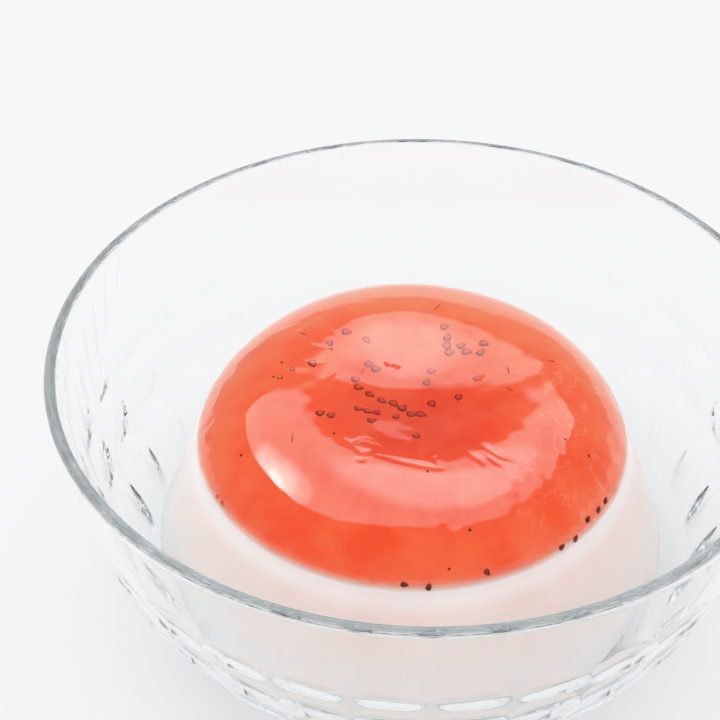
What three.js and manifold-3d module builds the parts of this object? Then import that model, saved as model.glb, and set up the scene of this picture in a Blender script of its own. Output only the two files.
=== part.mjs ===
// A two-layer moulded jelly turned out into its own clear pressed-glass bowl.
//
// Millimetres, +Z up. The origin is the centre of the bowl's foot, on the surface it stands on.
// Three pieces: the bowl, the milky lower layer and the strawberry upper layer with its seeds.

import * as THREE from 'three';
import { mergeVertices } from 'three/addons/utils/BufferGeometryUtils.js';
import Module from 'manifold-3d';

const wasm = await Module();
wasm.setup();

// Bowl
const RIM_RADIUS = 57;
const BOWL_HEIGHT = 50;
const WALL_DROP = 1.36; // how early the outer wall starts to lean in, as a power of the depth
const WALL_BELLY = 0.2; // how late it rounds in to the foot, as a power
const WALL_AT_RIM = 1.8;
const WALL_AT_BASE = 2.2;
const INNER_DEPTH = 42; // rim to the bowl's inner floor
const FLOOR_BEND = 8; // radius of the curve from the inner wall to the floor
const FLOOR_BEND_ANGLE = THREE.MathUtils.degToRad(55);
const WALL_FOOT_HEIGHT = 3.5; // where the outer wall meets the foot
const FOOT_RADIUS = 34;
const FOOT_HEIGHT = 3;
const FOOT_RING_WIDTH = 3;
const FOOT_RECESS = 2.5;
const FOOT_CHAMFER = 0.5;
const RINGS_UNDER_PRINTS = [45, 42.5]; // depths of the outer wall's plain rings
const RINGS_OVER_PRINTS = [9, 4.5];
const LIP_STEPS = 4;
const INNER_WALL_STEPS = 6;
const FLOOR_BEND_STEPS = 4;

// Thumbprints pressed into the outside of the bowl: rows of upright ovals, one above the other
const PRINTS_AROUND = 30;
const COLUMNS_PER_PRINT = 3;
const STEPS_PER_PRINT = 3;
const PRINT_ROWS = [
  { top: 13.5, bottom: 20, press: 0.4 },
  { top: 20, bottom: 28.5, press: 0.6 },
  { top: 28.5, bottom: 40, press: 0.8 },
]; // depths below the rim

// Jelly
const JELLY_OFFSET = new THREE.Vector2(-1.6, -0.4); // it slid a little off the bowl's axis
const CONTACT_GAP = 0.3; // between pieces that touch
const JELLY_BASE_RADIUS = 40.3; // at its widest
const JELLY_EDGE = 5.5; // radius of the sagged lower edge
const LAYER_RADIUS = 33.6; // where the two layers meet
const LAYER_DEPTH = 17.3; // rim to that level
const DOME_HEIGHT = 14.4; // of the shoulder curve, as if it had no dent
const DOME_FULLNESS = 3.43; // the shoulder curve's two powers
const DOME_SHOULDER = 0.712;
const DENT_PLACE = [2.4, -1.8]; // middle of the wide hollow in the top, from the jelly's axis
const DENT_DEPTH = 5;
const DENT_RADIUS = 16.4;
const DENT_FALL = 2.29; // how steeply its sides rise, as a power
const JELLY_SIDES = 60;
const JELLY_EDGE_STEPS = 6;
// Distances from the axis where the skin's section turns
const SKIN_RINGS = [33.2, 32.4, 31.2, 29.6, 27.6, 25, 22, 18.5, 15, 11.5, 8, 4, 0];
const UNEVENNESS = 0.18; // height of the low swells in the moulded skin
const SWELL_X = 4.7; // their lengths, as divisors of the place
const SWELL_Y = 6.1;
const SWELL_ACROSS = 8.3;
const SWELL_FADES_FROM = 20; // distance from the axis where they begin to die out
const SLOPE_STEP = 0.1; // for measuring the skin's slope
const SAME_PLACE = 0.01; // closer than this is the same place

// Strawberry seeds, lying flat in the skin
const SEED_LENGTH = 1.5;
const SEED_WIDTH = 1.15;
const SEED_THICKNESS = 0.8;
const SEED_SUNK = 0.15; // how far a seed's middle lies under the skin
const SEED_STRAY = 0.25; // how far a seed lies off its trail
const SEED_SIDES = 6;
const SEED_RINGS = 4;
// Trails of seeds on the crown, from the jelly's axis: start, end and how many lie along it
const SEED_TRAILS = [
  { from: [5.3, 12.9], to: [5.6, 7.6], count: 4 },
  { from: [7.7, 9.0], to: [8.3, 7.6], count: 2 },
  { from: [11.2, 9.0], to: [10.6, 7.5], count: 2 },
  { from: [-7.2, 9.7], to: [-10.4, 11.2], count: 2 },
  { from: [-12.7, 8.4], to: [-15.4, 3.3], count: 2 },
  { from: [-18.4, 1.7], to: [-20.3, 0.4], count: 2 },
  { from: [-6.6, 4.8], to: [-5.4, 4.1], count: 2 },
  { from: [3.0, 4.0], to: [2.3, 2.1], count: 2 },
  { from: [9.8, 1.8], to: [6.9, -1.7], count: 2 },
  { from: [2.7, -3.1], to: [0.3, -11.3], count: 2 },
  { from: [-8.6, 1.4], to: [-8.4, -0.3], count: 2 },
  { from: [-6.7, -1.7], to: [-1.4, -3.8], count: 4 },
  { from: [-0.4, -5.3], to: [1.0, -5.4], count: 2 },
  { from: [-2.6, -6.1], to: [-6.1, -8.1], count: 2 },
  { from: [-8.2, -5.3], to: [-5.5, -5.8], count: 3 },
  { from: [-14.1, -7.4], to: [-12.4, -7.7], count: 2 },
];
// Seeds low on the shoulder: their distance from the axis, and bearings in degrees from +X
const EDGE_SEED_RADIUS = 32.6;
const EDGE_SEED_BEARINGS = [207, 210, 267, 273, 288, 310, 315, 321, 326, 330];

const draw = seededDraw(7);

// A repeatable source of numbers from 0 to 1.
function seededDraw(seed) {
  let state = seed;
  return () => {
    state = (state * 1664525 + 1013904223) % 4294967296;
    return state / 4294967296;
  };
}

function steps(from, to, count) {
  return Array.from({ length: count + 1 }, (_, i) => from + ((to - from) * i) / count);
}

// ---- Bowl ----

function outerRadius(depth) {
  return RIM_RADIUS * (1 - (depth / BOWL_HEIGHT) ** WALL_DROP) ** WALL_BELLY;
}

function innerRadius(depth) {
  const share = depth / INNER_DEPTH;
  return outerRadius(depth) - THREE.MathUtils.lerp(WALL_AT_RIM, WALL_AT_BASE, share);
}

// Depths of the rings that the outer wall's prints are pressed on, from the lowest up.
function printDepths() {
  const depths = PRINT_ROWS.flatMap((row) => steps(row.top, row.bottom, STEPS_PER_PRINT));
  return [...new Set(depths)].sort((a, b) => b - a);
}

// The bowl's section: underside, foot, outer wall, lip, inner wall, floor.
function bowlProfile() {
  const points = [];
  const add = (radius, height) => points.push(new THREE.Vector2(radius, height));
  const recessRadius = FOOT_RADIUS - FOOT_RING_WIDTH;
  add(0, FOOT_RECESS);
  add(recessRadius, FOOT_RECESS);
  add(recessRadius, FOOT_CHAMFER);
  add(recessRadius + FOOT_CHAMFER, 0);
  add(FOOT_RADIUS - FOOT_CHAMFER, 0);
  add(FOOT_RADIUS, FOOT_CHAMFER);
  add(FOOT_RADIUS, FOOT_HEIGHT);

  const wallFoot = BOWL_HEIGHT - WALL_FOOT_HEIGHT;
  const lipRadius = WALL_AT_RIM / 2;
  const outerDepths = [wallFoot, ...RINGS_UNDER_PRINTS, ...printDepths(), ...RINGS_OVER_PRINTS, lipRadius];
  outerDepths.forEach((depth) => add(outerRadius(depth), BOWL_HEIGHT - depth));

  const lipCentre = (outerRadius(lipRadius) + innerRadius(lipRadius)) / 2;
  steps(0, Math.PI, LIP_STEPS)
    .slice(1, -1)
    .forEach((turn) => {
      add(lipCentre + lipRadius * Math.cos(turn), BOWL_HEIGHT - lipRadius + lipRadius * Math.sin(turn));
    });

  const bendDepth = INNER_DEPTH - FLOOR_BEND * (1 - Math.cos(FLOOR_BEND_ANGLE));
  steps(lipRadius, bendDepth, INNER_WALL_STEPS)
    .forEach((depth) => add(innerRadius(depth), BOWL_HEIGHT - depth));
  const floorRadius = innerRadius(bendDepth) - FLOOR_BEND * Math.sin(FLOOR_BEND_ANGLE);
  const floorHeight = BOWL_HEIGHT - INNER_DEPTH;
  steps(FLOOR_BEND_ANGLE, 0, FLOOR_BEND_STEPS)
    .slice(1)
    .forEach((turn) => {
      add(floorRadius + FLOOR_BEND * Math.sin(turn), floorHeight + FLOOR_BEND * (1 - Math.cos(turn)));
    });
  add(0, floorHeight);
  return points;
}

// How deep the oval print at this place is pressed in: 0 on the ridges between prints.
function printPress(bearing, depth) {
  const pitch = (2 * Math.PI) / PRINTS_AROUND;
  const across = (bearing / pitch - Math.round(bearing / pitch)) * 2;
  const row = PRINT_ROWS.find((r) => depth >= r.top && depth <= r.bottom);
  if (!row) return 0;
  const along = ((depth - row.top) / (row.bottom - row.top)) * 2 - 1;
  return row.press * Math.max(0, 1 - across ** 2 - along ** 2);
}

function makeBowl() {
  const profile = bowlProfile();
  const geometry = upright(new THREE.LatheGeometry(profile, PRINTS_AROUND * COLUMNS_PER_PRINT));
  const position = geometry.attributes.position;
  for (let i = 0; i < position.count; i += 1) {
    const x = position.getX(i);
    const y = position.getY(i);
    const depth = BOWL_HEIGHT - position.getZ(i);
    const radius = Math.hypot(x, y);
    const onOuterWall = Math.abs(radius - outerRadius(depth)) < SAME_PLACE;
    if (!onOuterWall) continue;
    const scale = (radius - printPress(Math.atan2(y, x), depth)) / radius;
    position.setXY(i, x * scale, y * scale);
  }
  return geometry;
}

// ---- Jelly ----

// Height of the strawberry layer's skin above the foot, at a place measured from the jelly's axis.
function skinHeight(x, y) {
  const radius = Math.hypot(x, y);
  const share = Math.min(radius / LAYER_RADIUS, 1);
  const dome = DOME_HEIGHT * (1 - share ** DOME_FULLNESS) ** DOME_SHOULDER;
  const fromDent = Math.hypot(x - DENT_PLACE[0], y - DENT_PLACE[1]);
  const dent = DENT_DEPTH * Math.exp(-((fromDent / DENT_RADIUS) ** DENT_FALL));
  const swell = Math.sin(x / SWELL_X) * Math.cos(y / SWELL_Y) + Math.sin((x - y) / SWELL_ACROSS);
  const fade = 1 - THREE.MathUtils.smoothstep(radius, SWELL_FADES_FROM, LAYER_RADIUS);
  return BOWL_HEIGHT - LAYER_DEPTH + dome - dent + UNEVENNESS * swell * fade;
}

// Which way the skin faces there.
function skinNormal(x, y) {
  const slopeX = (skinHeight(x + SLOPE_STEP, y) - skinHeight(x - SLOPE_STEP, y)) / (2 * SLOPE_STEP);
  const slopeY = (skinHeight(x, y + SLOPE_STEP) - skinHeight(x, y - SLOPE_STEP)) / (2 * SLOPE_STEP);
  return new THREE.Vector3(-slopeX, -slopeY, 1).normalize();
}

function makeMilkLayer() {
  const base = BOWL_HEIGHT - INNER_DEPTH + CONTACT_GAP;
  const edgeCentre = JELLY_BASE_RADIUS - JELLY_EDGE;
  const top = BOWL_HEIGHT - LAYER_DEPTH - CONTACT_GAP / 2;
  const lean = Math.atan2(JELLY_BASE_RADIUS - LAYER_RADIUS, top - base - JELLY_EDGE);
  const profile = [new THREE.Vector2(0, base)];
  steps(0, Math.PI / 2 + lean, JELLY_EDGE_STEPS).forEach((turn) => {
    const radius = edgeCentre + JELLY_EDGE * Math.sin(turn);
    profile.push(new THREE.Vector2(radius, base + JELLY_EDGE * (1 - Math.cos(turn))));
  });
  profile.push(new THREE.Vector2(LAYER_RADIUS, top));
  profile.push(new THREE.Vector2(0, top));
  return upright(new THREE.LatheGeometry(profile, JELLY_SIDES));
}

function makeStrawberryLayer() {
  const base = BOWL_HEIGHT - LAYER_DEPTH + CONTACT_GAP / 2;
  const profile = [new THREE.Vector2(0, base), new THREE.Vector2(LAYER_RADIUS, base)];
  SKIN_RINGS.forEach((radius) => profile.push(new THREE.Vector2(radius, skinHeight(radius, 0))));
  const geometry = upright(new THREE.LatheGeometry(profile, JELLY_SIDES));
  const position = geometry.attributes.position;
  for (let i = 0; i < position.count; i += 1) {
    const onBase = position.getZ(i) < base + SAME_PLACE;
    if (!onBase) position.setZ(i, skinHeight(position.getX(i), position.getY(i)));
  }
  const withSeed = (solid, place) => solid.add(asSolid(makeSeed(place)));
  return seedPlaces().reduce(withSeed, asSolid(geometry));
}

// ---- Seeds ----

// Where each seed lies: a point on the skin, and which way its long side points.
function seedPlaces() {
  const onTrails = SEED_TRAILS.flatMap(({ from, to, count }) => {
    const shares = steps(0, 1, count - 1);
    return shares.map((share) => ({
      x: THREE.MathUtils.lerp(from[0], to[0], share) + (draw() * 2 - 1) * SEED_STRAY,
      y: THREE.MathUtils.lerp(from[1], to[1], share) + (draw() * 2 - 1) * SEED_STRAY,
      turn: draw() * Math.PI,
    }));
  });
  const atEdge = EDGE_SEED_BEARINGS.map((degrees) => {
    const bearing = THREE.MathUtils.degToRad(degrees);
    const radius = EDGE_SEED_RADIUS + (draw() * 2 - 1) * SEED_STRAY;
    return { x: radius * Math.cos(bearing), y: radius * Math.sin(bearing), turn: draw() * Math.PI };
  });
  return [...onTrails, ...atEdge];
}

function makeSeed({ x, y, turn }) {
  const normal = skinNormal(x, y);
  const upToNormal = new THREE.Quaternion().setFromUnitVectors(new THREE.Vector3(0, 0, 1), normal);
  const middle = new THREE.Vector3(x, y, skinHeight(x, y)).addScaledVector(normal, -SEED_SUNK);
  return new THREE.SphereGeometry(0.5, SEED_SIDES, SEED_RINGS)
    .scale(SEED_WIDTH, SEED_LENGTH, SEED_THICKNESS)
    .rotateZ(turn)
    .applyQuaternion(upToNormal)
    .translate(middle.x, middle.y, middle.z);
}

// ---- Shared steps ----

// Turns a lathe's axis from Y to Z.
function upright(geometry) {
  return geometry.rotateX(Math.PI / 2);
}

function asSolid(geometry) {
  const bare = geometry.clone();
  bare.deleteAttribute('normal');
  bare.deleteAttribute('uv');
  const merged = mergeVertices(bare);
  const vertProperties = new Float32Array(merged.attributes.position.array);
  const triVerts = new Uint32Array(merged.index.array);
  return new wasm.Manifold(new wasm.Mesh({ numProp: 3, vertProperties, triVerts }));
}

function fromSolid(solid) {
  const { vertProperties, triVerts } = solid.getMesh();
  const geometry = new THREE.BufferGeometry();
  geometry.setAttribute('position', new THREE.BufferAttribute(vertProperties, 3));
  geometry.setIndex(new THREE.BufferAttribute(triVerts, 1));
  geometry.computeVertexNormals();
  return geometry;
}

function addPiece(parent, name, geometry, look) {
  const piece = new THREE.Mesh(geometry, new THREE.MeshStandardMaterial(look));
  piece.name = name;
  parent.add(piece);
}

const group = new THREE.Group();
addPiece(group, 'glass_bowl', makeBowl(), {
  color: 0xe9f1f0,
  roughness: 0.03,
  metalness: 0,
  transparent: true,
  opacity: 0.35,
});

const jelly = new THREE.Group();
jelly.position.set(JELLY_OFFSET.x, JELLY_OFFSET.y, 0);
group.add(jelly);
addPiece(jelly, 'milk_layer', makeMilkLayer(), {
  color: 0xe4d2cd,
  roughness: 0.25,
  metalness: 0,
});
addPiece(jelly, 'strawberry_layer', fromSolid(makeStrawberryLayer()), {
  color: 0xe5543a,
  roughness: 0.08,
  metalness: 0,
});

export default group;
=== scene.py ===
"""The looks of a two-layer moulded jelly in its pressed-glass bowl, on a plain pale floor.

Shapes are worked out in millimetres, from the same named sizes as the solids have, and turned to
metres as each mesh is made. The origin is the centre of the bowl's foot, +Z is up. Places on the
jelly are measured from its own axis.
"""

import math

import bpy
import numpy as np
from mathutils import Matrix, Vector


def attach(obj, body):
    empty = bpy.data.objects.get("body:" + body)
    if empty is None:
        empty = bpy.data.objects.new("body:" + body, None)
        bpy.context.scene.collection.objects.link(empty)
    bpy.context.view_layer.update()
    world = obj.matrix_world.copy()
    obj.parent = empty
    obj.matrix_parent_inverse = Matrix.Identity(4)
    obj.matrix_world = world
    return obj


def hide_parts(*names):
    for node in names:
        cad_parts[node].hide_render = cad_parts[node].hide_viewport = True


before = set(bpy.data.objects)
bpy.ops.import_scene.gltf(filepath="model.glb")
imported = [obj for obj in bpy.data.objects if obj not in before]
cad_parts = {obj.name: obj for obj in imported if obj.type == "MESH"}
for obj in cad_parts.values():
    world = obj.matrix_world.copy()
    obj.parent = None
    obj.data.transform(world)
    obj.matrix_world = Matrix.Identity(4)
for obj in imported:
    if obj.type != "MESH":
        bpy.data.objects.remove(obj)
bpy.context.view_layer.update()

MM = 0.001
BODY = "root"
SHARP_ANGLE = math.radians(50)  # edges that bend more than this are shaded as sharp
FRONT = math.radians(270)  # the bearing of the viewer's side

# Bowl
RIM_RADIUS = 57.0
BOWL_HEIGHT = 50.0
WALL_DROP = 1.36  # how early the outer wall starts to lean in, as a power of the depth
WALL_BELLY = 0.2  # how late it rounds in to the foot, as a power
WALL_AT_RIM = 1.8  # how thick the wall is there
WALL_AT_BASE = 2.2
INNER_DEPTH = 42.0  # rim to the bowl's inner floor
FLOOR_BEND = 8.0  # radius of the curve from the inner wall to the floor
FLOOR_BEND_ANGLE = math.radians(55)
WALL_FOOT_HEIGHT = 3.5  # where the outer wall meets the foot
FOOT_RADIUS = 34.0
FOOT_HEIGHT = 3.0
FOOT_RING_WIDTH = 3.0
FOOT_RECESS = 2.5
FOOT_CHAMFER = 0.5
PRINTS_AROUND = 30
PRINT_ROWS = [(13.5, 20.0, 0.4), (20.0, 28.5, 0.6), (28.5, 40.0, 0.8)]  # top, bottom, press
PRINT_EDGE = 0.15  # how softly a print's edge is rounded
BOWL_SIDES = 720
# How many rings of points each stretch of the bowl's section has
RINGS_UNDER_PRINTS = 8
RINGS_ON_PRINTS = 54
RINGS_OVER_PRINTS = 12
RINGS_ON_LIP = 13
RINGS_ON_INNER_WALL = 24
RINGS_ON_FLOOR_BEND = 12

# Jelly
JELLY_OFFSET = (-1.6, -0.4)  # it slid a little off the bowl's axis
JELLY_BASE_RADIUS = 40.3  # at its widest
JELLY_EDGE = 5.5  # radius of the sagged lower edge
LAYER_RADIUS = 33.6  # where the two layers meet
LAYER_DEPTH = 17.3  # rim to that level
LAYER_LINE = BOWL_HEIGHT - LAYER_DEPTH
LAYER_OVERLAP = 0.3  # how far the strawberry layer reaches into the milk layer
LAYER_INSET = 0.15  # how much narrower it is down there
MILK_TOP = 0.02  # how far the milk layer's top stands up into the strawberry layer
MILK_TOP_INSET = 0.3  # how far in from its edge it is that high
GLASS_OVERLAP = 0.05  # how far the milk layer reaches into the bowl's floor
FLAT_RING = 0.5  # the radius of the one ring on each flat face, as a share of the face's own
RINGS_ON_MILK_EDGE = 20
RINGS_ON_MILK_SIDE = 24
DOME_HEIGHT = 14.4  # of the strawberry layer, before its dent
DOME_FULLNESS = 3.43  # how flat its top is, as a power of the radius
DOME_SHOULDER = 0.712  # how steeply it ends at the edge, as a power
DENT_PLACE = (2.4, -1.8)
DENT_DEPTH = 5.0
DENT_RADIUS = 16.4
DENT_FALL = 2.29  # how steep its sides are, as a power of the distance
UNEVENNESS = 0.18  # height of the swells in the top
SWELL_X = 4.7
SWELL_Y = 6.1
SWELL_ACROSS = 8.3
SWELL_FADES_FROM = 20.0  # radius
SLOPE_STEP = 0.1  # how far to each side the skin's slope is measured
JELLY_SIDES = 500
SKIN_RINGS = 196

# Fine relief of the strawberry layer's skin. Waves are a height, a shortest and a longest length,
# and the number that their draw starts from
RIPPLES = (0.006, 2.6, 9, 11)
SHOULDER_RIPPLES = (0.06, 1.8, 5, 17)
SHOULDER_FROM = 29.5  # radius where these start
SHOULDER_FULL = 31.5
SMEARS = (0.026, 1.3, 5.0, 23)
SMEAR_BEARING = math.radians(-50)
SMEARS_FROM = 20.0  # how far from the axis on that bearing they start
SMEARS_FULL = 26.0
WAVE_COUNT = 60
RELIEF_FADES_FROM = 0.96  # as a share of the layer's radius
# Folds of the skin: width and depth of each kind, and the places that each fold runs through
TROUGH = (1.5, 0.08)
CREASE = (0.5, 0.19)
NICK = (0.35, 0.05)
WRINKLE = (0.3, 0.04)
FOLD_END = 0.06  # the share of its length at each end that is as shallow as the end itself
FOLDS = [
    (TROUGH, [(-25.2, 0.8), (-22.1, 0.6), (-18.8, 0.8), (-16.2, 0.6)]),
    (TROUGH, [(13.6, -0.2), (16.5, 0.6), (19.0, 2.4), (22.0, 4.6)]),
    (TROUGH, [(7.0, -17.0), (10.0, -16.6), (13.5, -15.6), (15.5, -13.5)]),
    (CREASE, [(9.3, -13.2), (11.0, -14.8), (12.4, -16.0), (14.3, -16.6)]),
    (CREASE, [(10.1, -15.4), (11.6, -17.0), (13.4, -18.3)]),
    (CREASE, [(8.0, -15.5), (9.4, -16.7), (10.4, -18.2)]),
    (CREASE, [(-11.0, -13.3), (-9.3, -14.4), (-7.4, -13.1), (-3.7, -14.9)]),
    (CREASE, [(-8.8, -17.7), (-7.2, -18.2)]),
    (CREASE, [(-9.3, -14.8), (-7.8, -16.5), (-6.3, -16.1)]),
    (CREASE, [(-5.5, -17.1), (-2.0, -18.1), (2.1, -18.8), (3.5, -18.9), (2.8, -17.0), (3.9, -15.8)]),
    (NICK, [(-14.4, 13.6), (-13.1, 11.4), (-11.7, 9.8)]),
    (NICK, [(-16.8, 8.4), (-15.2, 7.3), (-13.3, 6.8)]),
    (NICK, [(-17.0, 3.8), (-15.1, 3.2), (-13.0, 4.0)]),
    (NICK, [(-13.9, -0.8), (-12.7, 1.0), (-11.3, 3.0)]),
    (WRINKLE, [(-19.9, 14.4), (-17.5, 14.3), (-14.7, 14.3), (-12.0, 13.9)]),
    (WRINKLE, [(-23.3, 8.3), (-21.3, 8.5), (-19.0, 9.6)]),
    (WRINKLE, [(-26.7, 5.9), (-24.7, 3.1), (-23.6, 0.6)]),
    (WRINKLE, [(-27.0, -0.7), (-26.3, -6.3), (-25.5, -11.1)]),
    (WRINKLE, [(-13.3, 18.6), (-9.0, 18.8), (-4.1, 18.6), (1.5, 19.7)]),
    (WRINKLE, [(9.4, 17.5), (14.0, 14.4), (16.9, 10.6), (19.0, 7.2)]),
]

# Strawberry seeds and other bits: length, width and thickness, and how far a middle is under the skin
SEED = (1.6, 1.3, 0.7)
SEED_DEPTH = 0.4
SEED_SMALLEST = 0.88  # as a share of these sizes
SEED_LARGEST = 1.12
SMALL_SEEDS_BEFORE = -17.0  # the seeds left of this x are small ones
SMALL_SEED = 0.6  # as a share of the others
EDGE_SEED = (1.2, 0.85, 0.6)
EDGE_SEED_DEPTH = 0.05
FAINT_SEED_DEPTH = 0.28
SPECK = (0.5, 0.4, 0.3)
SPECK_DEPTH = 0.1
FIBRE_WIDTH = 0.17
FIBRE_DEPTH = 0.03
PULP = (1.3, 0.8, 0.5)
PULP_DEPTH = 0.12
DROP_SIDES = 14
DROP_ROWS = 10
DROP_TAPER = 0.4  # how much wider its blunt half is than its pointed one
DROP_TIP = 0.6  # how far its point is from its middle, as a share of its length
# Places of the loose specks
SPECKS = [
    (-25.8, -12.5), (26.0, -12.3), (7.6, -27.8), (1.7, -19.8), (4.6, -31.8), (-11.9, -12.3),
    (22.4, -11.2), (-20.1, 3.7), (-21.3, 0.6),
]
# Each fibre: place, bearing in degrees and length
FIBRES = [
    (4.1, 17.5, 57, 2.0),
    (-17.0, 10.5, -38, 1.6),
    (14.6, 2.9, -85, 1.8),
    (14.6, -1.3, -51, 1.4),
    (21.4, 5.2, 0, 1.1),
    (-18.1, -12.5, -92, 2.0),
    (-7.7, 3.2, -110, 1.4),
    (-12.7, 6.8, -10, 1.3),
]
PULP_PLACES = [(-4.0, 5.2), (-3.0, 5.0), (-2.3, 4.7), (9.9, 1.3), (10.6, 1.9)]
SEED_STRAY = 0.25  # how far a seed may lie from its place, each way
# Each trail of seeds: its first and last place, and how many
SEED_TRAILS = [
    ((5.3, 12.9), (5.6, 7.6), 4),
    ((7.7, 9.0), (8.3, 7.6), 2),
    ((11.2, 9.0), (10.6, 7.5), 2),
    ((-7.2, 9.7), (-10.4, 11.2), 2),
    ((-12.7, 8.4), (-15.4, 3.3), 2),
    ((-18.4, 1.7), (-20.3, 0.4), 2),
    ((-6.6, 4.8), (-5.4, 4.1), 2),
    ((3.0, 4.0), (2.3, 2.1), 2),
    ((9.8, 1.8), (6.9, -1.7), 2),
    ((2.7, -3.1), (0.3, -11.3), 2),
    ((-8.6, 1.4), (-8.4, -0.3), 2),
    ((-6.7, -1.7), (-1.4, -3.8), 4),
    ((-0.4, -5.3), (1.0, -5.4), 2),
    ((-2.6, -6.1), (-6.1, -8.1), 2),
    ((-8.2, -5.3), (-5.5, -5.8), 3),
    ((-14.1, -7.4), (-12.4, -7.7), 2),
]
EDGE_SEED_RADIUS = 33.0
FAINT_SEEDS = 2  # the first ones at the edge lie deeper and are redder
EDGE_SEED_BEARINGS = [207, 210, 267, 273, 288, 310, 315, 321, 326, 330]

# The numbers that the other draws start from
PLACES_DRAW = 7
GROWTH_DRAW = 3
CARD_DRAW = 5

# Colour of the milk layer, with painted light on its left and painted bands of shade and highlight down
# its side: where each change of it starts and ends
# Painted light: the milk layer is painted lighter left of the first x and a little darker right of the
# second
PAINTED_LIGHT_LEFT = (-35, -10)  # x from the bowl's axis
# Painted bands down the milk layer's side: pink-grey painted shade, a painted highlight under the red
# layer, and a painted pink glow from it at the top
PAINTED_BAND_HEIGHTS = (13, 33)  # above the foot
# Colour of the strawberry layer, with painted shade in its dent and painted light towards its edges, in
# the same way
# Painted shade: the strawberry layer is painted darker in its dent, darkest round this place
DENT_SHADE_MIDDLE = (2.4, -5.8)  # the place where it is darkest
DENT_SHADE_REACH = (3, 17)  # distance from there
# Paler towards the edges and the back, away from this place: partly the thinner layer, partly painted
# reflection of the bright room
PALE_EDGES_MIDDLE = (-1.0, -16.0)  # the place that it grows paler away from
PALE_EDGES_REACH = (20, 40)
THREADS = (10, 22)  # x from the bowl's axis, for its pale threads
MILKY_HEIGHTS = (0.3, 2.5)  # above the line between the layers

# The overhead panel that the wet skin mirrors: its height in metres, and its outline for a height
# of 1, with how far in from each place it takes to grow bright
SHEEN_HEIGHT = 0.8
SHEEN_OUTLINE = [
    (-1.65, 1.2, 0.02),
    (-1.7, 0.98, 0.02),
    (-1.53, 0.61, 0.02),
    (-1.35, 0.26, 0.02),
    (-1.25, -0.02, 0.02),
    (-1.08, -0.34, 0.02),
    (-0.85, -0.56, 0.04),
    (-0.5, -0.68, 0.06),
    (-0.14, -0.66, 0.06),
    (0.2, -0.6, 0.08),
    (0.5, -0.55, 0.12),
    (0.72, -0.42, 0.2),
    (0.86, -0.17, 0.2),
    (0.99, 0.06, 0.16),
    (1.08, 0.36, 0.1),
    (1.1, 0.64, 0.04),
    (1.12, 0.98, 0.04),
    (1.04, 1.12, 0.06),
    (0.7, 1.09, 0.1),
    (0.35, 1.04, 0.12),
    (0, 1.0, 0.12),
    (-0.3, 0.97, 0.12),
    (-0.55, 1.0, 0.1),
    (-0.9, 1.08, 0.06),
    (-1.3, 1.2, 0.03),
]
SHEEN_STEPS = 8  # points from each place to the next
SHEEN_MIDDLE = (0.1, 0.25)  # where it is brighter than round its edge
SHEEN_REACH = (240, 720)  # distance from there, in millimetres, that it grows dimmer over
SHEEN_SPOT = (-1.15, 0.12)  # where it is far brighter
SPOT_REACH = (0, 400)
SHEEN_STRENGTH = 40

# Room light, and what the wet skin mirrors of the room
ROOM_LIGHT = 1.26
ROOM_COLOUR = (0.985, 0.99, 1, 1)
FLOOR_SIZE = 6  # in metres, as its drop is
FLOOR_DROP = 0.0001  # how far it is under the foot
SOFTBOX_POWER = 4  # watts for each square metre, for a radiance of 1
CANOPY_RADIUS = 2500.0
CANOPY_FOOT = -20.0
CANOPY_SIDES = 64
CANOPY_RINGS = 25
CANOPY_FADES_FROM = 0.02  # heights as a share of its radius
CANOPY_DIM_FROM = 0.16
CANOPY_STRENGTH = 1.15
CARD_RADIUS = 44.0
CARD_FOOT = 35.3
CARD_LEAN = 1.6  # how much higher its foot is at the right than in the middle
CARD_REACH = math.radians(160)  # how far round from the front it goes each way
CARD_RISE = 18.0  # how much higher its foot is at its ends
CARD_RAG = 3.2  # how ragged its foot is
CARD_TEARS = 70
CARD_FRAY = CARD_RAG / 3  # how much finer tears add
CARD_TOP = 53.0
CARD_STEPS = 320

# Camera
LENS = 100
SENSOR = 36
CAMERA_PLACE = (-9.69, -230.28, 243.23)
CAMERA_TILT = math.radians(49.7)
BOUNCES = 24
# The camera's response: even in the darks and middles, with a soft shoulder up to its white
RESPONSE = [(0.5, 0.5), (0.86, 0.86), (0.94, 0.915), (1.0, 0.933), (1.1, 0.96), (1.4, 0.985)]
RESPONSE_END = (4, 0.995)
ALL_COLOURS = 3  # the number of the curve for them all

# How each number of a draw follows from the one before
DRAW_FACTOR = 1664525
DRAW_STEP = 1013904223
DRAW_RANGE = 2**32


def seeded_draw(seed):
    """A repeatable source of numbers from 0 to 1."""
    state = seed
    while True:
        state = (state * DRAW_FACTOR + DRAW_STEP) % DRAW_RANGE
        yield state / DRAW_RANGE


def smoothstep(value, start, end):
    share = np.clip((value - start) / (end - start), 0, 1)
    return share * share * (3 - 2 * share)


def smooth_loop(corners, steps):
    """A closed curve through the corners, with that many points from each to the next."""
    corners = np.asarray(corners, float)
    before, after = np.roll(corners, 1, axis=0), np.roll(corners, -1, axis=0)
    beyond = np.roll(corners, -2, axis=0)
    spans = []
    for share in np.arange(steps) / steps:
        curve = 2 * corners + (after - before) * share
        curve += (2 * before - 5 * corners + 4 * after - beyond) * share**2
        curve += (3 * corners - before - 3 * after + beyond) * share**3
        spans.append(curve / 2)
    return np.stack(spans, axis=1).reshape(-1, corners.shape[1])


# ---- Meshes ----


def add_piece(name, points, faces):
    """A smooth-shaded mesh through points in millimetres."""
    mesh = bpy.data.meshes.new(name)
    mesh.from_pydata((np.asarray(points) * MM).tolist(), [], faces)
    mesh.shade_smooth()
    mesh.set_sharp_from_angle(angle=SHARP_ANGLE)
    piece = bpy.data.objects.new(name, mesh)
    bpy.context.collection.objects.link(piece)
    return piece


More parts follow.
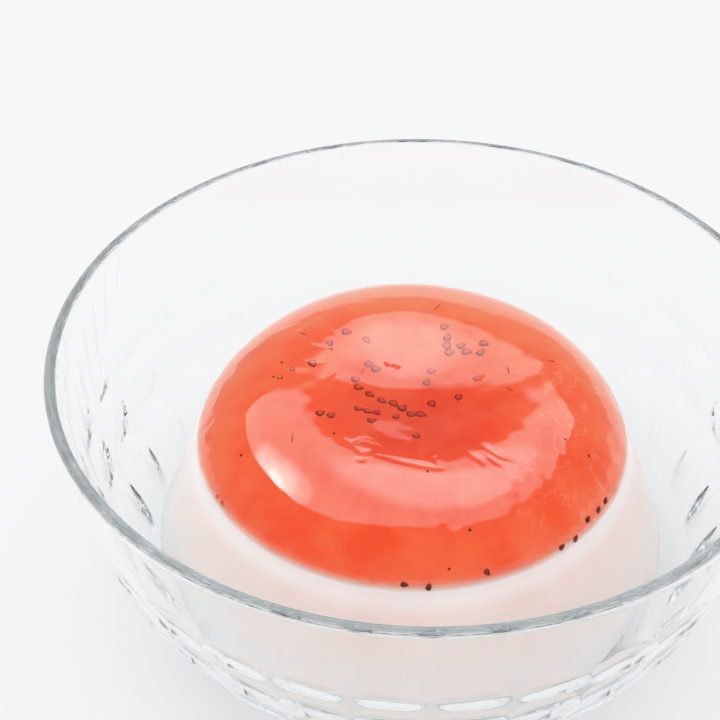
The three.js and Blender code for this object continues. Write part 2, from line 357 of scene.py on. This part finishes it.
def closed_skin(first_pole, rings, last_pole):
    """Points and faces of a closed skin through rings of points, shut by a point at each end."""
    count, sides = len(rings), len(rings[0])
    points = np.vstack([[first_pole], np.concatenate(rings), [last_pole]])
    last = 1 + count * sides
    faces = []
    for side in range(sides):
        following = (side + 1) % sides
        faces.append((0, 1 + following, 1 + side))
        for ring in range(count - 1):
            here, above = 1 + ring * sides, 1 + (ring + 1) * sides
            faces.append((here + side, here + following, above + following, above + side))
        top = 1 + (count - 1) * sides
        faces.append((top + side, top + following, last))
    return points, faces


def all_round(sides):
    """That many even bearings once round."""
    return np.arange(sides) * 2 * math.pi / sides


def ring_of(radius, height, bearings, middle=(0, 0)):
    """A level ring of points; radius and height may vary round it."""
    x = middle[0] + radius * np.cos(bearings)
    y = middle[1] + radius * np.sin(bearings)
    return np.column_stack([x, y, np.broadcast_to(height, x.shape)])


# ---- Bowl ----


def outer_radius(depth):
    """Radius of the wall's outside at a depth under the rim, before its prints."""
    return RIM_RADIUS * (1 - (depth / BOWL_HEIGHT) ** WALL_DROP) ** WALL_BELLY


def inner_radius(depth):
    return outer_radius(depth) - WALL_AT_RIM - (WALL_AT_BASE - WALL_AT_RIM) * depth / INNER_DEPTH


def print_press(bearings, depth):
    """How far in the oval prints are pressed round this depth."""
    pitch = 2 * math.pi / PRINTS_AROUND
    across = (bearings / pitch - np.round(bearings / pitch)) * 2
    for top, bottom, press in PRINT_ROWS:
        if top <= depth <= bottom:
            along = (depth - top) / (bottom - top) * 2 - 1
            hollow = 1 - across**2 - along**2
            return press * (hollow + np.sqrt(hollow**2 + PRINT_EDGE**2)) / 2
    return np.zeros_like(bearings)


def make_bowl():
    bearings = all_round(BOWL_SIDES)
    recess = FOOT_RADIUS - FOOT_RING_WIDTH
    section = [(recess, FOOT_RECESS), (recess, FOOT_CHAMFER), (recess + FOOT_CHAMFER, 0)]
    section += [(FOOT_RADIUS - FOOT_CHAMFER, 0), (FOOT_RADIUS, FOOT_CHAMFER), (FOOT_RADIUS, FOOT_HEIGHT)]
    rings = [ring_of(radius, height, bearings) for radius, height in section]

    lip = WALL_AT_RIM / 2
    prints_top, prints_bottom = PRINT_ROWS[0][0], PRINT_ROWS[-1][1]
    plain_below = np.linspace(BOWL_HEIGHT - WALL_FOOT_HEIGHT, prints_bottom, RINGS_UNDER_PRINTS)
    printed = np.linspace(prints_bottom, prints_top, RINGS_ON_PRINTS)[1:]
    plain_above = np.linspace(prints_top, lip, RINGS_OVER_PRINTS)[1:]
    for depth in [*plain_below, *printed, *plain_above]:
        pressed = outer_radius(depth) - print_press(bearings, depth)
        rings.append(ring_of(pressed, BOWL_HEIGHT - depth, bearings))

    lip_middle = (outer_radius(lip) + inner_radius(lip)) / 2
    for turn in np.linspace(0, math.pi, RINGS_ON_LIP)[1:-1]:
        radius = lip_middle + lip * math.cos(turn)
        rings.append(ring_of(radius, BOWL_HEIGHT - lip + lip * math.sin(turn), bearings))

    bend_depth = INNER_DEPTH - FLOOR_BEND * (1 - math.cos(FLOOR_BEND_ANGLE))
    for depth in np.linspace(lip, bend_depth, RINGS_ON_INNER_WALL):
        rings.append(ring_of(inner_radius(depth), BOWL_HEIGHT - depth, bearings))
    floor_radius = inner_radius(bend_depth) - FLOOR_BEND * math.sin(FLOOR_BEND_ANGLE)
    floor_height = BOWL_HEIGHT - INNER_DEPTH
    for turn in np.linspace(FLOOR_BEND_ANGLE, 0, RINGS_ON_FLOOR_BEND)[1:]:
        radius = floor_radius + FLOOR_BEND * math.sin(turn)
        rings.append(ring_of(radius, floor_height + FLOOR_BEND * (1 - math.cos(turn)), bearings))
    return add_piece("bowl", *closed_skin((0, 0, FOOT_RECESS), rings, (0, 0, floor_height)))


# ---- Jelly ----


def on_jelly(place, height):
    """A place measured from the jelly's axis, as a point in the shared frame."""
    return (JELLY_OFFSET[0] + place[0], JELLY_OFFSET[1] + place[1], height)


def skin_height(x, y):
    """Height of the strawberry layer's skin above the foot, without its fine relief."""
    radius = np.hypot(x, y)
    share = np.minimum(radius / LAYER_RADIUS, 1)
    dome = DOME_HEIGHT * (1 - share**DOME_FULLNESS) ** DOME_SHOULDER
    from_dent = np.hypot(x - DENT_PLACE[0], y - DENT_PLACE[1])
    dent = DENT_DEPTH * np.exp(-((from_dent / DENT_RADIUS) ** DENT_FALL))
    swell = np.sin(x / SWELL_X) * np.cos(y / SWELL_Y) + np.sin((x - y) / SWELL_ACROSS)
    fade = 1 - smoothstep(radius, SWELL_FADES_FROM, LAYER_RADIUS)
    return LAYER_LINE + dome - dent + UNEVENNESS * swell * fade


def skin_normal(x, y):
    slope_x = (skin_height(x + SLOPE_STEP, y) - skin_height(x - SLOPE_STEP, y)) / (2 * SLOPE_STEP)
    slope_y = (skin_height(x, y + SLOPE_STEP) - skin_height(x, y - SLOPE_STEP)) / (2 * SLOPE_STEP)
    return Vector((-slope_x, -slope_y, 1)).normalized()


def waves(x, y, height, shortest, longest, seed):
    """Low waves of many lengths and bearings, as a set skin has."""
    draw = seeded_draw(seed)
    total = np.zeros_like(x)
    for _ in range(WAVE_COUNT):
        length = shortest + (longest - shortest) * next(draw)
        bearing, phase = 2 * math.pi * next(draw), 2 * math.pi * next(draw)
        along = x * math.cos(bearing) + y * math.sin(bearing)
        total += np.sin(2 * math.pi * along / length + phase)
    return height * total * math.sqrt(2 / WAVE_COUNT)


def shoulder_ripples(x, y):
    return waves(x, y, *SHOULDER_RIPPLES) * smoothstep(np.hypot(x, y), SHOULDER_FROM, SHOULDER_FULL)


def smears(x, y):
    """Waves on one side of the layer, where it was smeared."""
    towards = x * math.cos(SMEAR_BEARING) + y * math.sin(SMEAR_BEARING)
    return waves(x, y, *SMEARS) * smoothstep(towards, SMEARS_FROM, SMEARS_FULL)


def distance_to_path(x, y, path):
    """Distance to a line through the places of path, and how far along it: 0 and 1 are its ends."""
    nearest = np.full_like(x, np.inf)
    share = np.zeros_like(x)
    spans = len(path) - 1
    for index, ((ax, ay), (bx, by)) in enumerate(zip(path, path[1:])):
        dx, dy = bx - ax, by - ay
        along = np.clip(((x - ax) * dx + (y - ay) * dy) / (dx * dx + dy * dy), 0, 1)
        distance = np.hypot(x - ax - along * dx, y - ay - along * dy)
        closer = distance < nearest
        nearest = np.where(closer, distance, nearest)
        share = np.where(closer, (index + along) / spans, share)
    return nearest, share


def folds(x, y):
    """What the folds add to the skin's height, which is never above zero."""
    total = np.zeros_like(x)
    for (width, depth), path in FOLDS:
        distance, share = distance_to_path(x, y, path)
        fade = np.sin(math.pi * np.clip(share, FOLD_END, 1 - FOLD_END))
        total -= depth * fade * np.exp(-((distance / width) ** 2))
    return total


def make_milk_layer():
    bearings = all_round(JELLY_SIDES)
    base = BOWL_HEIGHT - INNER_DEPTH - GLASS_OVERLAP
    edge_middle = JELLY_BASE_RADIUS - JELLY_EDGE
    lean = math.atan2(JELLY_BASE_RADIUS - LAYER_RADIUS, LAYER_LINE - base - JELLY_EDGE)
    section = [(edge_middle * FLAT_RING, base)]
    for turn in np.linspace(0, math.pi / 2 + lean, RINGS_ON_MILK_EDGE):
        radius = edge_middle + JELLY_EDGE * math.sin(turn)
        section.append((radius, base + JELLY_EDGE * (1 - math.cos(turn))))
    start_radius, start_height = section[-1]
    for share in np.linspace(0, 1, RINGS_ON_MILK_SIDE)[1:]:
        radius = start_radius + (LAYER_RADIUS - start_radius) * share
        section.append((radius, start_height + (LAYER_LINE - start_height) * share))
    top = LAYER_LINE + MILK_TOP
    section += [(LAYER_RADIUS - MILK_TOP_INSET, top), (LAYER_RADIUS * FLAT_RING, top)]
    rings = [ring_of(radius, height, bearings, JELLY_OFFSET) for radius, height in section]
    return add_piece("milk_jelly", *closed_skin((*JELLY_OFFSET, base), rings, (*JELLY_OFFSET, top)))


def make_strawberry_layer():
    bearings = all_round(JELLY_SIDES)
    base = LAYER_LINE - LAYER_OVERLAP
    section = [(LAYER_RADIUS * FLAT_RING, base), (LAYER_RADIUS - LAYER_INSET, base)]
    rings = [ring_of(radius, height, bearings, JELLY_OFFSET) for radius, height in section]
    for turn in np.linspace(math.pi / 2, 0, SKIN_RINGS)[:-1]:
        radius = LAYER_RADIUS * math.sin(turn)
        x, y = radius * np.cos(bearings), radius * np.sin(bearings)
        relief = waves(x, y, *RIPPLES) + shoulder_ripples(x, y) + smears(x, y) + folds(x, y)
        relief *= 1 - smoothstep(radius, RELIEF_FADES_FROM * LAYER_RADIUS, LAYER_RADIUS)
        rings.append(ring_of(radius, skin_height(x, y) + relief, bearings, JELLY_OFFSET))
    crown = (*JELLY_OFFSET, rings[-1][:, 2].mean())
    return add_piece("strawberry_jelly", *closed_skin((*JELLY_OFFSET, base), rings, crown))


# ---- Seeds ----


def seed_places():
    """The seeds on top and the seeds at the edge: each is x, y and a turn in radians."""
    draw = seeded_draw(PLACES_DRAW)
    places, edge_places = [], []
    for start, end, count in SEED_TRAILS:
        for share in np.linspace(0, 1, count):
            x = start[0] + (end[0] - start[0]) * share + (next(draw) * 2 - 1) * SEED_STRAY
            y = start[1] + (end[1] - start[1]) * share + (next(draw) * 2 - 1) * SEED_STRAY
            places.append((x, y, next(draw) * math.pi))
    for degrees in EDGE_SEED_BEARINGS:
        bearing = math.radians(degrees)
        radius = EDGE_SEED_RADIUS + (next(draw) * 2 - 1) * SEED_STRAY
        x, y = radius * math.cos(bearing), radius * math.sin(bearing)
        edge_places.append((x, y, next(draw) * math.pi))
    return places, edge_places


def under_skin(points, x, y, turn, depth):
    """Lays points, given with their long side along Y, under the skin there and flat to it."""
    normal = skin_normal(x, y)
    tilt = Vector((0, 0, 1)).rotation_difference(normal)
    middle = Vector(on_jelly((x, y), float(skin_height(x, y)))) - normal * depth
    laid = []
    for point in points:
        turned = Vector((
            point[0] * math.cos(turn) - point[1] * math.sin(turn),
            point[0] * math.sin(turn) + point[1] * math.cos(turn),
            point[2],
        ))
        turned.rotate(tilt)
        laid.append(middle + turned)
    return laid


def teardrop(length, width, thickness):
    """A flattened drop, blunt at one end of Y and pointed at the other.

    With its points and faces comes how near each point is to its rim.
    """
    bearings = all_round(DROP_SIDES)
    rings, rims = [], []
    for row in range(1, DROP_ROWS):
        angle = math.pi * row / DROP_ROWS
        girth = math.sin(angle) * (1 + DROP_TAPER * math.cos(angle)) / 2
        x = width * girth * np.cos(bearings)
        z = thickness * girth * np.sin(bearings)
        rings.append(np.column_stack([x, np.full(DROP_SIDES, length / 2 * math.cos(angle)), z]))
        middle = np.abs(np.sin(bearings)) * math.sin(angle)
        rims.extend(1 - middle)
    points, faces = closed_skin((0, length / 2, 0), rings, (0, -length * DROP_TIP, 0))
    return points, faces, [1, *rims, 1]


def make_bits(name, bits):
    """One piece of many drops: each bit is (sizes, x, y, turn, depth under the skin)."""
    points, faces, rims = [], [], []
    for sizes, x, y, turn, depth in bits:
        shape, shape_faces, shape_rims = teardrop(*sizes)
        first = len(points)
        points += under_skin(shape, x, y, turn, depth)
        faces += [tuple(first + corner for corner in face) for face in shape_faces]
        rims += shape_rims
    piece = add_piece(name, points, faces)
    rim = piece.data.attributes.new("rim", "FLOAT", "POINT")
    rim.data.foreach_set("value", rims)
    return piece


def make_seeds(places):
    draw = seeded_draw(GROWTH_DRAW)
    bits = []
    for x, y, turn in places:
        growth = SEED_SMALLEST + (SEED_LARGEST - SEED_SMALLEST) * next(draw)
        if x < SMALL_SEEDS_BEFORE:
            growth *= SMALL_SEED
        bits.append(([side * growth for side in SEED], x, y, turn, SEED_DEPTH * growth))
    return make_bits("seeds", bits)


def make_dark_bits(edge_places):
    """The darker seeds at the edge, with loose specks and fibres."""
    bits = [(EDGE_SEED, *place, EDGE_SEED_DEPTH) for place in edge_places[FAINT_SEEDS:]]
    bits += [(SPECK, x, y, x + y, SPECK_DEPTH) for x, y in SPECKS]
    for x, y, degrees, length in FIBRES:
        sizes = (length, FIBRE_WIDTH, FIBRE_WIDTH)
        bits.append((sizes, x, y, math.radians(degrees - 90), FIBRE_DEPTH))
    return make_bits("edge_seeds_and_fibres", bits)


def make_pulp(edge_places):
    """Shreds of red flesh, and the faint seeds at the edge."""
    bits = [(PULP, x, y, math.pi / 2 + x, PULP_DEPTH) for x, y in PULP_PLACES]
    bits += [(EDGE_SEED, *place, FAINT_SEED_DEPTH) for place in edge_places[:FAINT_SEEDS]]
    return make_bits("pulp", bits)


# ---- Materials ----


def grey(value):
    return (value, value, value)


class Look:
    """A material on a Principled shader, with short ways to add its parts."""

    def __init__(self, name):
        self.material = bpy.data.materials.new(name)
        self.material.use_nodes = True
        self.nodes = self.material.node_tree.nodes
        self.links = self.material.node_tree.links
        self.shader = self.nodes["Principled BSDF"]

    def set(self, **values):
        """Sets the shader's sockets by their names, with _ for each space."""
        for name, value in values.items():
            self.shader.inputs[name.replace("_", " ")].default_value = value

    def noise(self, size, detail=2.0, warp=0.0):
        """Soft noise with lumps of that size in millimetres."""
        where = self.nodes.new("ShaderNodeTexCoord")
        noise = self.nodes.new("ShaderNodeTexNoise")
        noise.inputs["Scale"].default_value = 1 / (size * MM)
        noise.inputs["Detail"].default_value = detail
        noise.inputs["Distortion"].default_value = warp
        self.links.new(where.outputs["Object"], noise.inputs["Vector"])
        return noise.outputs["Fac"]

    def measure(self, operation, vector, start, end):
        """A length worked out from the place and a vector, as a share of start to end in millimetres."""
        where = self.nodes.new("ShaderNodeTexCoord")
        length = self.nodes.new("ShaderNodeVectorMath")
        length.operation = operation
        length.inputs[1].default_value = vector
        share = self.nodes.new("ShaderNodeMapRange")
        share.inputs["From Min"].default_value = start * MM
        share.inputs["From Max"].default_value = end * MM
        self.links.new(where.outputs["Object"], length.inputs[0])
        self.links.new(length.outputs["Value"], share.inputs["Value"])
        return share.outputs["Result"]

    def along(self, direction, start, end):
        """How far along a direction between two places in millimetres: 0 to 1."""
        return self.measure("DOT_PRODUCT", direction, start, end)

    def away(self, place, start, end):
        """How far away from a place between two distances in millimetres: 0 to 1."""
        return self.measure("DISTANCE", Vector(place) * MM, start, end)

    def glow(self, colour, strength):
        """Turns the material into one that shines."""
        emission = self.nodes.new("ShaderNodeEmission")
        emission.inputs["Strength"].default_value = strength
        self.links.new(colour, emission.inputs["Color"])
        self.links.new(emission.outputs["Emission"], self.nodes["Material Output"].inputs["Surface"])
        return self.material

    def mix(self, way, first, second):
        """Two colours put together: way is MULTIPLY or ADD."""
        node = self.nodes.new("ShaderNodeMix")
        node.data_type = "RGBA"
        node.blend_type = way
        node.inputs["Factor"].default_value = 1
        self.links.new(first, node.inputs["A"])
        self.links.new(second, node.inputs["B"])
        return node.outputs["Result"]

    def blend(self, share, first, colour):
        """Turns the first colour into a plain one by a share of 0 to 1."""
        node = self.nodes.new("ShaderNodeMix")
        node.data_type = "RGBA"
        node.inputs["B"].default_value = (*colour, 1)
        self.links.new(share, node.inputs["Factor"])
        self.links.new(first, node.inputs["A"])
        return node.outputs["Result"]

    def attribute(self, name):
        node = self.nodes.new("ShaderNodeAttribute")
        node.attribute_name = name
        return node.outputs["Fac"]

    def ramp(self, factor, *stops):
        """Colours along a factor: each stop is (place, colour)."""
        node = self.nodes.new("ShaderNodeValToRGB")
        elements = node.color_ramp.elements
        while len(elements) < len(stops):
            elements.new(1)
        for element, (position, colour) in zip(elements, stops):
            element.position = position
            element.color = (*colour, 1)
        self.links.new(factor, node.inputs["Fac"])
        return node.outputs["Color"]

    def feed(self, socket, output):
        self.links.new(output, self.shader.inputs[socket])

    def bump(self, height, distance):
        """Fine relief that far up and down, in millimetres."""
        node = self.nodes.new("ShaderNodeBump")
        node.inputs["Strength"].default_value = 1
        node.inputs["Distance"].default_value = distance * MM
        self.links.new(height, node.inputs["Height"])
        self.links.new(node.outputs["Normal"], self.shader.inputs["Normal"])

    def absorb(self, colour, density):
        """What light loses on its way through, per metre."""
        volume = self.nodes.new("ShaderNodeVolumeAbsorption")
        volume.inputs["Color"].default_value = (*colour, 1)
        volume.inputs["Density"].default_value = density
        self.links.new(volume.outputs["Volume"], self.nodes["Material Output"].inputs["Volume"])


def glass_look():
    look = Look("pressed_glass")
    look.set(Base_Color=(1, 1, 1, 1), Roughness=0.0, IOR=1.5, Transmission_Weight=1)
    look.absorb((0.82, 0.92, 0.93), 8)
    look.bump(look.noise(9), 0.004)
    return look.material


def milk_look():
    look = Look("milk_jelly")
    look.set(Roughness=0.22, IOR=1.36)
    look.set(Subsurface_Radius=(1, 0.7, 0.6), Subsurface_Scale=0.005)
    clouds_and_painted_shade = look.ramp(look.noise(11), (0.3, (0.93, 0.89, 0.87)), (0.7, (0.98, 0.95, 0.94)))
    # Painted light: lighter on the left, a little darker from the middle to the right
    side = look.ramp(look.along((1, 0, 0), *PAINTED_LIGHT_LEFT), (0, grey(1)), (1, (0.965, 0.94, 0.935)))
    clouds_and_painted_shade = look.mix("MULTIPLY", clouds_and_painted_shade, side)
    height = look.along((0, 0, 1), *PAINTED_BAND_HEIGHTS)
    look.feed("Subsurface Weight", look.ramp(height, (0.88, grey(1)), (0.98, grey(0.2))))
    # Painted bands: pink-grey painted shade lower down, a painted highlight just under the red layer,
    # and a painted pink glow from it at the very top
    painted_bands = look.ramp(
        height,
        (0.1, grey(1)),
        (0.6, (0.97, 0.88, 0.85)),
        (0.82, (0.97, 0.86, 0.83)),
        (0.93, (1, 0.98, 0.97)),
        (1, (1, 0.93, 0.9)),
    )
    look.feed("Base Color", look.mix("MULTIPLY", clouds_and_painted_shade, painted_bands))
    look.bump(look.noise(5), 0.05)
    return look.material


def strawberry_look():
    look = Look("strawberry_jelly")
    look.set(Roughness=0.02, IOR=1.37)
    look.set(Subsurface_Radius=(1, 0.3, 0.15), Subsurface_Scale=0.006)
    look.set(Sheen_Weight=0.45, Sheen_Roughness=0.3)
    clouds_and_painted_shade = look.ramp(look.noise(5.5, 3), (0.36, (0.95, 0.175, 0.085)), (0.64, (0.985, 0.345, 0.2)))
    # Painted shade: darker in the dent
    dent = on_jelly(DENT_SHADE_MIDDLE, skin_height(*DENT_PLACE))
    dent_shade = look.ramp(look.away(dent, *DENT_SHADE_REACH), (0, (0.93, 0.68, 0.72)), (1, grey(1)))
    clouds_and_painted_shade = look.mix("MULTIPLY", clouds_and_painted_shade, dent_shade)
    # Paler and more orange towards the edges and back: partly the thinner layer, partly painted
    # reflection of the bright room
    thin_and_painted_light = look.ramp(
        look.away(on_jelly(PALE_EDGES_MIDDLE, LAYER_LINE), *PALE_EDGES_REACH),
        (0, grey(0)),
        (0.6, (0, 0.06, 0.05)),
        (0.8, (0, 0.22, 0.19)),
        (1, (0, 0.38, 0.38)),
    )
    threads = look.ramp(look.noise(6, 3, 1.2), (0.48, grey(0)), (0.5, (0, 0.3, 0.3)), (0.52, grey(0)))
    right = look.ramp(look.along((1, 0, 0), *THREADS), (0, grey(0)), (1, grey(1)))
    # The body colour carries the painted dent shade and the painted edge light, with its own clouds and
    # pale threads
    body = look.mix("ADD", look.mix("ADD", clouds_and_painted_shade, thin_and_painted_light), look.mix("MULTIPLY", threads, right))
    above_line = look.along((0, 0, 1), *(LAYER_LINE + height for height in MILKY_HEIGHTS))
    milky = look.ramp(above_line, (0, grey(0.95)), (0.3, grey(0.5)), (1, grey(0)))
    look.feed("Base Color", look.blend(milky, body, (0.97, 0.9, 0.88)))
    clear = look.ramp(above_line, (0.1, grey(0)), (0.35, grey(0.3)), (0.7, grey(0.94)))
    look.feed("Transmission Weight", clear)
    look.feed("Subsurface Weight", look.ramp(above_line, (0, grey(0.1)), (0.5, grey(1))))
    look.absorb((0.95, 0.36, 0.0), 56)
    return look.material


def seed_look():
    look = Look("strawberry_seed")
    look.set(Roughness=0.4, Specular_IOR_Level=0.1)
    # Painted shade: the seeds are painted dark brown round their rims, where their rounded sides turn
    # from the light, and olive in their middles
    brown, olive = (0.22, 0.012, 0.007), (0.6, 0.19, 0.09)
    look.feed("Base Color", look.ramp(look.attribute("rim"), (0.15, olive), (0.35, brown)))
    look.bump(look.noise(0.3), 0.03)
    return look.material


def dark_bit_look():
    look = Look("edge_seed")
    look.set(Roughness=0.45, Specular_IOR_Level=0.15)
    # Painted shade: the edge seeds get this near-black colour as they lie in the shade at the jelly's
    # edge; the specks and fibres are this dark themselves
    dark, less_dark = (0.1, 0.01, 0.006), (0.24, 0.045, 0.022)
    look.feed("Base Color", look.ramp(look.noise(0.4), (0.4, dark), (0.6, less_dark)))
    return look.material


def pulp_look():
    look = Look("strawberry_pulp")
    look.set(Roughness=0.4, Specular_IOR_Level=0.25, Subsurface_Weight=1, Subsurface_Scale=0.0004)
    red, orange = (0.6, 0.04, 0.015), (0.85, 0.15, 0.05)
    look.feed("Base Color", look.ramp(look.noise(0.5), (0.4, red), (0.6, orange)))
    return look.material


def floor_look():
    look = Look("pale_floor")
    look.set(Roughness=0.9, Emission_Color=(0.95, 0.98, 1, 1), Emission_Strength=0.545)
    look.feed("Base Color", look.ramp(look.noise(300), (0, grey(0.3)), (1, grey(0.31))))
    return look.material


# ---- Pieces ----


def dress(piece, look, slot, *nodes):
    """Gives a piece its look and its place in the model; nodes are the ones that it replaces."""
    piece.data.materials.append(look)
    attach(piece, BODY)
    if nodes:
        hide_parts(*nodes)
    return piece


seeds, edge_seeds = seed_places()
dress(make_bowl(), glass_look(), "pressed_glass", "glass_bowl")
wet_pieces = [
    dress(make_milk_layer(), milk_look(), "milk_jelly", "milk_layer"),
    dress(make_strawberry_layer(), strawberry_look(), "strawberry_jelly", "strawberry_layer"),
]
dress(make_seeds(seeds), seed_look(), "strawberry_jelly")
dress(make_dark_bits(edge_seeds), dark_bit_look(), "strawberry_jelly")
dress(make_pulp(edge_seeds), pulp_look(), "strawberry_jelly")

# ---- Studio ----

bpy.ops.mesh.primitive_plane_add(size=FLOOR_SIZE, location=(0, 0, -FLOOR_DROP))
floor = bpy.context.object
floor.name = "floor"
floor.data.materials.append(floor_look())


def softbox(name, place, target, width, length, radiance):
    """A rectangle of light, with its places and sizes in metres."""
    light = bpy.data.lights.new(name, "AREA")
    light.shape = "RECTANGLE"
    light.size, light.size_y = width, length
    light.energy = SOFTBOX_POWER * radiance * width * length
    lamp = bpy.data.objects.new(name, light)
    lamp.location = place
    lamp.rotation_euler = (Vector(target) - lamp.location).to_track_quat("-Z", "Y").to_euler()
    bpy.context.collection.objects.link(lamp)
    return lamp


def for_reflections(lamp):
    """Has the light show in reflections alone."""
    lamp.visible_camera = False
    lamp.visible_diffuse = False
    lamp.visible_transmission = False
    lamp.visible_volume_scatter = False
    lamp.visible_shadow = False


def for_wet_pieces(lamp):
    """Has the light show in the reflections of the wet pieces alone."""
    for_reflections(lamp)
    lit = bpy.data.collections.new(lamp.name)
    for piece in wet_pieces:
        lit.objects.link(piece)
    lamp.light_linking.receiver_collection = lit


def sheen_panel():
    """The overhead panel that the wet skin mirrors: rounded, with a hot corner to the left."""
    outline = smooth_loop(SHEEN_OUTLINE, SHEEN_STEPS) * SHEEN_HEIGHT
    edge, fade = outline[:, :2], outline[:, 2:]
    inward = edge.mean(axis=0) - edge
    bright = edge + inward / np.linalg.norm(inward, axis=1, keepdims=True) * fade
    count = len(edge)
    flat = np.vstack([edge, bright, bright.mean(axis=0)])
    points = np.column_stack([flat, np.full(len(flat), SHEEN_HEIGHT)])
    faces = []
    for here in range(count):
        following = (here + 1) % count
        faces.append((here, following, count + following, count + here))
        faces.append((count + here, count + following, 2 * count))
    panel = add_piece("sheen_panel", points / MM, faces)
    inside = panel.data.attributes.new("inside", "FLOAT", "POINT")
    inside.data.foreach_set("value", [0.0] * count + [1.0] * (count + 1))
    look = Look("sheen")
    from_middle = look.away(Vector((*SHEEN_MIDDLE, 1)) * SHEEN_HEIGHT / MM, *SHEEN_REACH)
    even = look.ramp(from_middle, (0, grey(0.25)), (0.42, grey(0.11)), (1, grey(0.12)))
    from_spot = look.away(Vector((*SHEEN_SPOT, 1)) * SHEEN_HEIGHT / MM, *SPOT_REACH)
    spot = look.ramp(from_spot, (0, grey(0.85)), (0.33, grey(0.4)), (1, grey(0)))
    within = look.ramp(look.attribute("inside"), (0, grey(0)), (1, grey(1)))
    colour = look.mix("MULTIPLY", look.mix("ADD", even, spot), within)
    panel.data.materials.append(look.glow(colour, SHEEN_STRENGTH))
    for_wet_pieces(panel)


def canopy():
    """A tent over all that shows in reflections alone: as bright as the room low down, dim above."""
    bearings = all_round(CANOPY_SIDES)
    rings = [
        ring_of(CANOPY_RADIUS * math.cos(turn), CANOPY_RADIUS * math.sin(turn), bearings)
        for turn in np.linspace(0, math.pi / 2, CANOPY_RINGS)[:-1]
    ]
    tent = add_piece("canopy", *closed_skin((0, 0, CANOPY_FOOT), rings, (0, 0, CANOPY_RADIUS)))
    look = Look("canopy")
    height = look.along((0, 0, 1), CANOPY_FADES_FROM * CANOPY_RADIUS, CANOPY_DIM_FROM * CANOPY_RADIUS)
    colour = look.ramp(height, (0, grey(0.98)), (1, grey(0.3)))
    tent.data.materials.append(look.glow(colour, CANOPY_STRENGTH))
    for_reflections(tent)


def dark_card():
    """A dark ragged-edged collar round the front and sides, which the jelly's edge mirrors."""
    draw = seeded_draw(CARD_DRAW)
    steps = np.arange(CARD_STEPS)
    from_front = np.linspace(-1, 1, CARD_STEPS) * CARD_REACH
    bearings = from_front + FRONT
    tears = np.array([next(draw) - 0.5 for _ in range(CARD_TEARS)])
    ragged = CARD_RAG * np.interp(steps, np.linspace(0, CARD_STEPS, CARD_TEARS), tears)
    ragged += CARD_FRAY * np.array([next(draw) - 0.5 for _ in steps])
    rise = CARD_RISE * np.clip(np.abs(from_front) / CARD_REACH * 2 - 1, 0, 1) ** 2
    foot = ring_of(CARD_RADIUS, CARD_FOOT + CARD_LEAN * np.cos(bearings) + rise + ragged, bearings)
    head = ring_of(CARD_RADIUS, CARD_TOP, bearings)
    faces = [(step, step + 1, CARD_STEPS + step + 1, CARD_STEPS + step) for step in steps[:-1]]
    card = add_piece("dark_card", np.vstack([foot, head]), faces)
    look = Look("dark_card")
    colour = look.ramp(look.noise(20), (0, grey(0.1)), (1, grey(0.2)))
    card.data.materials.append(look.glow(colour, 1))
    for_reflections(card)


key = softbox(
    "key", place=(-0.15, 0.25, 0.8), target=(0, 0, 0.03), width=0.9, length=0.9, radiance=0.7
)
key.visible_glossy = False
backdrop = softbox(
    "backdrop_sheen",
    place=(0.02, 0.8, 0.175),
    target=(0, 0, 0.175),
    width=0.5,
    length=0.35,
    radiance=0.9,
)
for_wet_pieces(backdrop)
sheen_panel()
canopy()
dark_card()

scene = bpy.context.scene
world = bpy.data.worlds.new("studio")
world.use_nodes = True
room = world.node_tree.nodes["Background"]
room.inputs["Color"].default_value = ROOM_COLOUR
room.inputs["Strength"].default_value = ROOM_LIGHT
scene.world = world

camera_data = bpy.data.cameras.new("camera")
camera_data.lens = LENS
camera_data.sensor_width = SENSOR
camera = bpy.data.objects.new("camera", camera_data)
camera.location = Vector(CAMERA_PLACE) * MM
camera.rotation_euler = (CAMERA_TILT, 0, 0)
bpy.context.collection.objects.link(camera)

scene.camera = camera
scene.cycles.use_denoising = True
scene.cycles.max_bounces = BOUNCES
scene.cycles.transmission_bounces = BOUNCES
scene.cycles.glossy_bounces = BOUNCES

scene.view_settings.view_transform = "Standard"
scene.view_settings.use_curve_mapping = True
response = scene.view_settings.curve_mapping
response.clip_max_x = RESPONSE_END[0]
points = response.curves[ALL_COLOURS].points
points[-1].location = RESPONSE_END
for light, shown in RESPONSE:
    points.new(light, shown)
for point in points:
    point.handle_type = "AUTO_CLAMPED"
response.update()
